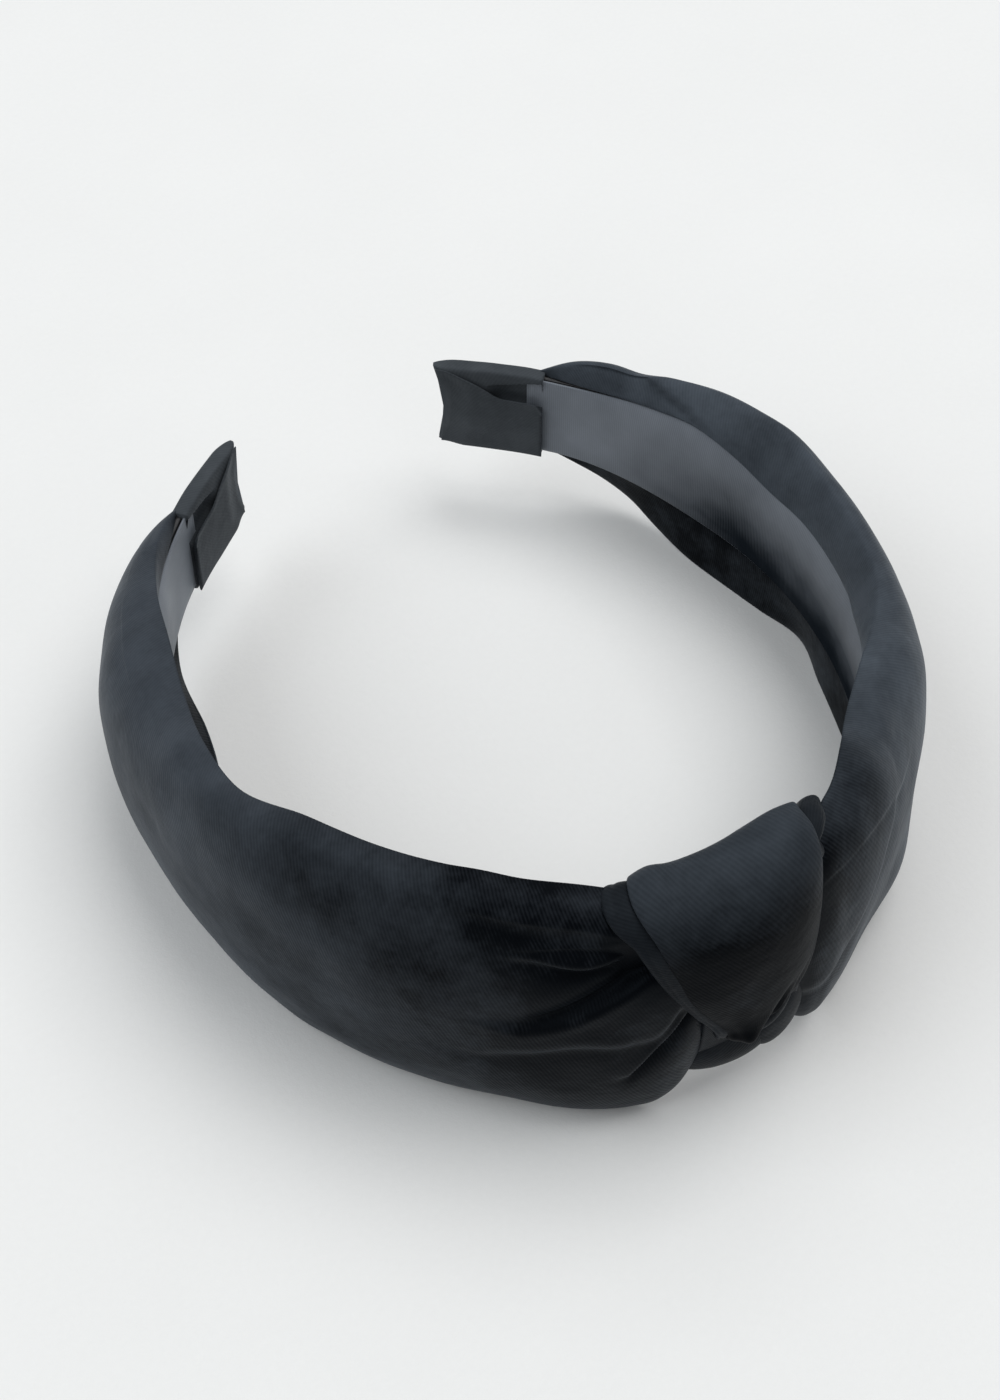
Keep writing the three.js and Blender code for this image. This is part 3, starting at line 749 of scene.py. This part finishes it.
def hoop_strips():
    """The strips that are whole on the real object, each made as two halves that overlap at the
    middle of the crown."""
    for label, side in SIDES:
        strip_half(CORE_STRIP, label, side)
        strip_half(PADDING_STRIP, label, side)
        lining = strip_half(LINING_STRIP, label, side)


# ---- Tips

WRAP_FACES = (-2.4, 1.6)  # inner and outer, as out
WRAP_HALF = 10.5  # half the cap's width
WRAP_CORNER = 0.28  # how round its long edges are: 1 is an ellipse, 0 a rectangle
WRAP_POINTS = 150
WRAP_PUCKER = (0.18, 0.006)  # height in mm and size in m of the cap's unevenness
WRAP_MIDDLE = -0.4  # halfway between its faces
TIP_HOLLOW = 1.7  # how far a tip's end hollows in
TIP_EARS = {"left": (2.3, 3.0), "right": (3.4, 2.6)}  # how long the upper and lower ears are
TIP_RISE = {"left": 1.6, "right": 0.5}  # how far the lower edge rises towards the end
HOLLOW_DEPTH = 1.2  # of the hollow on the cap's inner face
FLAP_EDGE = 4.2  # the flap's upper edge above the core's middle, where the cap starts
FLAP_SWEEP = 5.8  # how far that edge sweeps up to the tip
FLAP_OUT = -2.75
FLAP_HALF = 0.35  # half the flap's thickness


def wrap_outline():
    """The cap's cross-section around the strip, as out and height above the core's middle, with
    its points spread evenly along it."""
    inner, outer = WRAP_FACES
    angle = np.linspace(0, 2 * np.pi, 4001)
    out = (inner + outer) / 2 + (outer - inner) / 2 * signed_power(np.cos(angle), WRAP_CORNER)
    up = WRAP_HALF * signed_power(np.sin(angle), WRAP_CORNER)
    run = np.concatenate([[0], np.cumsum(np.hypot(np.diff(out), np.diff(up)))])
    even = np.linspace(0, run[-1], WRAP_POINTS, endpoint=False)
    return np.interp(even, run, out)[None, :], np.interp(even, run, up)[None, :]


def tip_end(label, level):
    """Where a tip's end lies along the hoop, at a level from -1 at its lower edge to 1."""
    upper_ear, lower_ear = TIP_EARS[label]
    upper = upper_ear * smoothstep(0.35, 1.0, level) ** 2
    lower = lower_ear * smoothstep(0.2, 1.0, -level) ** 1.5
    return WRAP_END - TIP_HOLLOW + upper + lower


def lower_edge_rise(label, run):
    """How far a tip's lower edge has risen, with run from 0 at its start to 1 at its end."""
    return TIP_RISE[label] * smoothstep(0.4, 1.0, run)


def wrap_hollow(out, level, run):
    """How deep the cap's inner face is hollow between the flap's edge and the band above it."""
    inner_face = smoothstep(-1.4, -2.2, out)
    band_edge = 0.90 - 0.4 * run
    below_band = smoothstep(band_edge, band_edge - 0.06, level)
    before_end = 1 - smoothstep(0.46, 0.62, run)
    above_flap = smoothstep(0.1, 0.35, level)
    return HOLLOW_DEPTH * inner_face * (below_band * before_end) * above_flap


def tip_wrap(label, side):
    """The cloth cap over a tip. Its end is pressed flat and hollows in between two ears."""
    out, up = wrap_outline()
    run = np.concatenate([np.linspace(0, 0.95, 48), [0.97, 0.985, 0.995, 1.0]])[:, None]
    level = up / WRAP_HALF
    s = WRAP_START + (tip_end(label, level) - WRAP_START) * run
    out = out + wrap_hollow(out, level, run)
    squeeze = np.sqrt(np.clip(1 - ((run - 0.80) / 0.21).clip(0, 1) ** 2, 0.02, 1))
    flat = out * squeeze + WRAP_MIDDLE * (1 - squeeze)
    up = up + lower_edge_rise(label, run) * smoothstep(0.2, 1.0, -level)
    high, size = WRAP_PUCKER
    pucker = high * cloth_noise(hoop_point(side * s, flat, MID_HEIGHT + up), size, 31 + side)
    flat = flat + pucker * smoothstep(0.02, 0.2, run)
    piece = tube(f"tip_wrap_{label}_cloth", hoop_point(side * s, flat, MID_HEIGHT + up))
    finish_piece(piece, WRAP_SATIN, [f"tip_wrap_{label}"], f"arm_{label}")


def tip_flap(label, side):
    """The cap's corner folded over its inner face: its upper edge sweeps up to the tip."""
    run = np.linspace(0, 1, 28)[:, None]
    high = FLAP_EDGE + FLAP_SWEEP * smoothstep(0.42, 0.95, run) - 1.4 * smoothstep(0.08, 0.0, run)
    low = -WRAP_HALF + 0.1 + lower_edge_rise(label, run)
    c, d = circle(40)
    up = (high + low) / 2 + (high - low) / 2 * signed_power(d, 0.35)
    start = WRAP_START - 0.3
    s = start + (tip_end(label, up / WRAP_HALF) - 0.5 - start) * run
    # the upper edge stands proud of the cap where it starts, and the end sinks into the cap
    proud = FLAP_HALF * smoothstep(0.5, 1, d) * (1 - run)
    settle = 1.1 * smoothstep(0.75, 1.0, run)
    out = FLAP_OUT + FLAP_HALF * signed_power(c, 0.7) - proud + settle
    piece = tube(f"tip_flap_{label}_cloth", hoop_point(side * s, out, MID_HEIGHT + up))
    finish_piece(piece, WRAP_SATIN, [f"tip_flap_{label}"], f"arm_{label}")


# ---- Knot

# The path of the cloth over the top of the knot and down its front, from the hidden back to
# the pinch: out and z of the outer face, where the front panel's two edges lie along the hoop,
# and how far each edge sinks back from the panel's middle.
KNOT_COLUMNS = ("out", "z", "left", "right", "left_sink", "right_sink")
KNOT_ROWS = [
    (-2.4, 40.6, -13.0, 11.6, 0.3, 0.4),
    (-6.4, 48.0, -16.4, 14.0, 0.3, 0.4),
    (-7.3, 53.4, -17.6, 14.8, 0.3, 0.4),
    (-6.6, 58.2, -19.2, 15.0, 0.4, 0.5),
    (-3.4, 60.9, -20.0, 13.2, 0.5, 0.8),
    (1.4, 60.8, -19.8, 12.2, 0.6, 1.1),
    (5.6, 57.6, -18.2, 11.2, 0.7, 1.6),
    (8.2, 52.0, -16.0, 10.6, 0.8, 2.2),
    (9.2, 45.5, -13.9, 10.8, 0.8, 2.5),
    (9.5, 39.0, -11.8, 11.0, 0.8, 2.6),
    (9.4, 33.0, -9.2, 10.6, 0.8, 2.5),
    (9.2, 28.5, -6.8, 8.8, 0.7, 2.2),
    (9.3, 25.2, -5.3, 4.6, 0.7, 1.5),
    (9.1, 22.8, -5.0, 1.2, 1.0, 1.2),
    (8.0, 20.9, -4.8, 0.4, 1.0, 1.0),
    (6.4, 20.4, -4.4, -0.2, 0.8, 0.8),
]
# smooth_key looks a row up by its s, which in this path is the row's number
KNOT_PATH = [dict(zip(KNOT_COLUMNS, row), s=number) for number, row in enumerate(KNOT_ROWS)]
# How much higher than the path the top of the knot lies, along the hoop.
KNOT_TOP = [dict(s=s, rise=rise) for s, rise in (
    (-25, -1.6), (-20, -1.0), (-16, 0.6), (-12, -0.2), (-7, 0.0), (-2, 0.7), (4, 1.9), (9, 2.2),
    (14, 1.0), (20, -0.6))]


def knot_rows(first, last, count):
    """Smooth rows of the knot's path with the direction in which the cloth faces there."""
    row = np.linspace(first, last, count)
    value = {name: smooth_key(KNOT_PATH, name, row) for name in KNOT_COLUMNS}
    run_out, run_z = np.gradient(value["out"]), np.gradient(value["z"])
    length = np.hypot(run_out, run_z)
    value["face_out"] = -run_z / length
    value["face_up"] = run_out / length
    return {name: column[:, None] for name, column in value.items()}


def lens(count, power=0.5):
    """A flat closed loop: v from -1 to 1 across, and lift from -1, inside, to 1, outside."""
    v, lift = circle(count)
    return v, signed_power(lift, power)


def band(rows, left, right, sink, thick, v, lift):
    """Rings of a band of cloth along the knot's path; sink moves its face inwards."""
    s = left + (right - left) * (v + 1) / 2
    rise = -sink - thick / 2 + thick / 2 * lift
    top = smooth_key(KNOT_TOP, "rise", s) * smoothstep(48, 59, rows["z"])
    height = rows["z"] + top + rise * rows["face_up"]
    return hoop_point(s, rows["out"] + rise * rows["face_out"], height)


# Creases of the panel that fan out of the pinch: two points (s, z) on each, its depth and width,
# and the height at which it ends.
PANEL_CREASES = [
    dict(low=(1.6, 24.6), high=(5.2, 34.5), depth=0.9, width=0.8, end=36),
    dict(low=(-4.6, 26.0), high=(-6.4, 31.0), depth=0.5, width=0.9, end=32),
    dict(low=(5.2, 27.5), high=(8.0, 36.0), depth=0.5, width=1.0, end=38),
]
# The rounded nub at the panel's pinched end.
PANEL_NUB = dict(s=-2.0, z=22.4, height=1.2, spread=(1.9, 2.0))
PANEL_THICK = 1.5
PANEL_PUCKER = (0.0004, 0.014)  # height and size in metres
ROLL_WIDTH = 5.0
ROLL_NARROWS = 1.4  # by how much the roll narrows, once below the top and once above the pinch
ROLL_THICK = 1.9
TUCK_WIDTH = 6.2
TUCK_THICK = 2.6


def front_panel():
    """The cloth over the knot: a dome that is wide at the top and pinched at the bottom."""
    rows = knot_rows(0, len(KNOT_PATH) - 1, 130)
    v, lift = lens(96)
    left_part = np.clip(-v, 0, 1) ** 2.2
    right_part = np.clip(v, 0, 1) ** 2.4
    sink = rows["left_sink"] * left_part + rows["right_sink"] * right_part
    s = rows["left"] + (rows["right"] - rows["left"]) * (v + 1) / 2
    front = smoothstep(2, 6, rows["out"])
    for crease in PANEL_CREASES:
        (low_s, low_z), (high_s, high_z) = crease["low"], crease["high"]
        line = low_s + (high_s - low_s) * (rows["z"] - low_z) / (high_z - low_z)
        fade = front * (1 - smoothstep(crease["end"] - 8, crease["end"], rows["z"]))
        sink = sink + fade * crease["depth"] * np.exp(-(((s - line) / crease["width"]) ** 2))
    along, up = PANEL_NUB["spread"]
    from_nub = ((s - PANEL_NUB["s"]) / along) ** 2 + ((rows["z"] - PANEL_NUB["z"]) / up) ** 2
    sink = sink - PANEL_NUB["height"] * front * np.exp(-from_nub)
    rings = band(rows, rows["left"], rows["right"], sink, PANEL_THICK, v, lift)
    high, size = PANEL_PUCKER
    rings = rings + high * cloth_noise(rings, size, 57)[..., None] * np.array([0, -1, 0.4])
    piece = tube("knot_front_panel_cloth", rings, mirrored=True)
    finish_piece(piece, KNOT_SATIN, ["knot_front_panel"], "crown")
    return piece


def edge_roll():
    """The rolled edge of the cloth, down the panel's left side to the pinch."""
    rows = knot_rows(0.6, len(KNOT_PATH) - 2.6, 110)
    width = ROLL_WIDTH - ROLL_NARROWS * smoothstep(60, 54, rows["z"])
    width = width - ROLL_NARROWS * smoothstep(52, 34, rows["z"])
    right = rows["left"] + 0.6
    v, lift = lens(36, 0.8)
    # a shallow crease runs along the roll's outer face
    crease = 0.2 * np.exp(-(((v + 0.3) / 0.2) ** 2)) * smoothstep(0, 0.4, lift)
    sink = rows["left_sink"] + 0.35 + 0.5 * smoothstep(52, 58, rows["z"]) + crease
    rings = band(rows, right - width, right, sink, ROLL_THICK, v, lift)
    piece = tube("knot_edge_roll_cloth", rings, mirrored=True)
    finish_piece(piece, FOLD_SATIN, ["knot_edge_roll"], "crown")
    return piece


def top_tuck():
    """The fold that peeps out between the panel and the right wing at the top."""
    count = 50
    rows = knot_rows(1.6, 5.6, count)
    left = rows["right"] - 0.8
    round_ends = np.sqrt(np.clip(np.sin(np.pi * np.linspace(0.06, 0.99, count)), 0, 1))[:, None]
    width = TUCK_WIDTH * round_ends
    v, lift = lens(32, 0.8)
    rings = band(rows, left, left + width, 0.8 + rows["right_sink"], TUCK_THICK, v, lift)
    piece = tube("knot_top_tuck_cloth", rings)
    finish_piece(piece, FOLD_SATIN, ["knot_top_tuck"], "crown")
    return piece


BUNDLE_REACH = 8.5  # along the hoop, to each side
BUNDLE_OUT = (4.4, 2.4)  # middle and half its thickness
BUNDLE_Z = (35.0, 19.0)  # middle and half its height


def bundle():
    """The crossed cloth inside the knot, which fills it from wing to wing and leans back at its
    top."""
    s = np.linspace(-BUNDLE_REACH, BUNDLE_REACH, 40)[:, None]
    c, d = circle(72)
    out = BUNDLE_OUT[0] + BUNDLE_OUT[1] * signed_power(c, 0.7) - 2.6 * smoothstep(0.6, 1.0, d)
    z = BUNDLE_Z[0] + BUNDLE_Z[1] * signed_power(d, 0.8)
    piece = tube("knot_bundle_cloth", hoop_point(s, out, z))
    finish_piece(piece, FOLD_SATIN, ["knot_bundle"], "crown")


LOBE_ROWS = 36
LOBE_COLUMNS = 32
LOBE_PUCKER = (0.0003, 0.006)  # height and size in metres


def lobe(name, node, path, widths, thick, seed):
    """A fold of cloth as a bent, flattened tube through a few points (s, out, z), with a width at
    each of them."""
    columns = ("along", "out", "z", "width")
    stations = [(*point, width) for point, width in zip(path, widths)]
    keys = [dict(zip(columns, station), s=number) for number, station in enumerate(stations)]
    at = np.linspace(0, len(path) - 1, LOBE_ROWS)
    s, out, z, width = (smooth_key(keys, column, at)[:, None] for column in columns)
    run_s, run_z = np.gradient(s[:, 0])[:, None], np.gradient(z[:, 0])[:, None]
    length = np.hypot(run_s, run_z)
    across_s, across_z = run_z / length, -run_s / length
    round_ends = np.sin(np.pi * np.linspace(0.02, 0.98, LOBE_ROWS))
    taper = np.sqrt(np.clip(round_ends, 0, 1))[:, None] ** 0.6
    c, d = circle(LOBE_COLUMNS)
    rings = hoop_point(
        s + across_s * width / 2 * c * taper,
        out + thick / 2 * d * taper,
        z + across_z * width / 2 * c * taper,
    )
    high, size = LOBE_PUCKER
    rings = rings + high * cloth_noise(rings, size, seed)[..., None] * np.array([0, -1, 0])
    piece = tube(name, rings)
    finish_piece(piece, FOLD_SATIN, [node], "crown")


def knot():
    """The bundle, the panel over it with its roll and tuck, and the other folds."""
    bundle()
    front_panel()
    edge_roll()
    top_tuck()
    lobe("knot_lower_fold_cloth", "knot_lower_fold",
         [(-12.5, 2.4, 18), (-8, 3.2, 15), (-3, 3.8, 14), (2, 4.2, 14.5), (6.5, 4.0, 18)],
         [8, 12.5, 13.5, 12.5, 8], 5.0, 71)
    lobe("knot_side_fold_cloth", "knot_side_fold",
         [(4.6, 4.8, 9.4), (5.4, 5.2, 13), (6.6, 5.4, 18), (8.0, 5.2, 25)],
         [6.0, 8.4, 9.0, 6.5], 3.8, 83)
    lobe("knot_top_fold_cloth", "knot_bundle",
         [(-19, -1.0, 51.6), (-14, -0.8, 54), (-5, -0.8, 55), (5, -0.8, 55.4), (11, -0.8, 54.8),
          (15.5, -1.0, 51.0)],
         [5.0, 6.8, 7.6, 7.6, 6.8, 5.0], 9.0, 64)
    lobe("knot_pinch_fold_cloth", "knot_side_fold",
         [(-0.6, 5.4, 18.0), (1.8, 6.2, 19.8), (4.4, 6.5, 23), (6.6, 6.4, 27)],
         [2.8, 3.4, 3.4, 2.4], 2.6, 91)


# ---- Floor, light and camera


def direction(azimuth, elevation):
    """The unit vector at an azimuth, in degrees to the right of the front, and an elevation."""
    turn, rise = math.radians(azimuth), math.radians(elevation)
    return Vector((math.sin(turn) * math.cos(rise), -math.cos(turn) * math.cos(rise), math.sin(rise)))


def floor():
    """A plain square under the headband, wide enough to fill every view."""
    size = 3.0
    corners = [(-size, -size, 0), (size, -size, 0), (size, size, 0), (-size, size, 0)]
    piece = mesh_object("floor", corners, [(0, 1, 2, 3)])
    piece.data.materials.append(pale_floor())


LIGHT_DISTANCE = 4.0  # metres


def area_light(name, azimuth, elevation, size, power, colour=(1, 1, 1)):
    """A square soft light aimed at the middle of the headband."""
    light = bpy.data.lights.new(name, "AREA")
    light.shape = "SQUARE"
    light.size = size
    light.energy = power
    light.color = colour
    lamp = bpy.data.objects.new(name, light)
    towards = direction(azimuth, elevation)
    lamp.location = Vector((0, 0, 0.02)) + towards * LIGHT_DISTANCE
    lamp.rotation_euler = towards.to_track_quat("Z", "Y").to_euler()
    bpy.context.scene.collection.objects.link(lamp)


def lights():
    """A soft key from the right, a cool fill from the left and a weak light from behind."""
    area_light("key", azimuth=84, elevation=69, size=2.8, power=80)
    area_light("fill", azimuth=-102, elevation=50, size=2.8, power=50, colour=(0.93, 0.97, 1.0))
    area_light("top", azimuth=152, elevation=62, size=1.5, power=12)
    world = bpy.data.worlds.new("studio")
    world.use_nodes = True
    background = world.node_tree.nodes["Background"].inputs
    background["Color"].default_value = (0.95, 0.97, 1.0, 1.0)
    background["Strength"].default_value = 0.38
    bpy.context.scene.world = world
    bpy.context.scene.view_settings.view_transform = "Standard"


# The photograph's viewing angle, solved together with the hoop's plan.
CAMERA_AZIMUTH = -28.97
CAMERA_ELEVATION = 50.90
CAMERA_DISTANCE = 0.4087
CAMERA_LENS = 56.39
CAMERA_AIM = (-4.09, 73.14, 24.14)  # millimetres from the floor below the crown's middle


def camera():
    """The camera at the photograph's viewing angle."""
    data = bpy.data.cameras.new("camera")
    data.lens = CAMERA_LENS
    data.sensor_width = 36.0
    data.clip_start = 0.01
    view = bpy.data.objects.new("camera", data)
    back = direction(CAMERA_AZIMUTH, CAMERA_ELEVATION)
    aim = Vector((CROWN_X + CAMERA_AIM[0] * MM, CROWN_Y + CAMERA_AIM[1] * MM, CAMERA_AIM[2] * MM))
    view.location = aim + back * CAMERA_DISTANCE
    view.rotation_euler = back.to_track_quat("Z", "Y").to_euler()
    bpy.context.scene.collection.objects.link(view)
    bpy.context.scene.camera = view


# ---- Build

camera()
floor()
lights()
hoop_strips()
wing("left", -1, LEFT_WING, LEFT_FOLDS, [], LEFT_SWELLS, 11.3)
wing("right", 1, RIGHT_WING, RIGHT_FOLDS, RIGHT_INNER_FOLDS, RIGHT_SWELLS, 23.7)
knot()
for tip_label, tip_side in SIDES:
    tip_wrap(tip_label, tip_side)
    tip_flap(tip_label, tip_side)
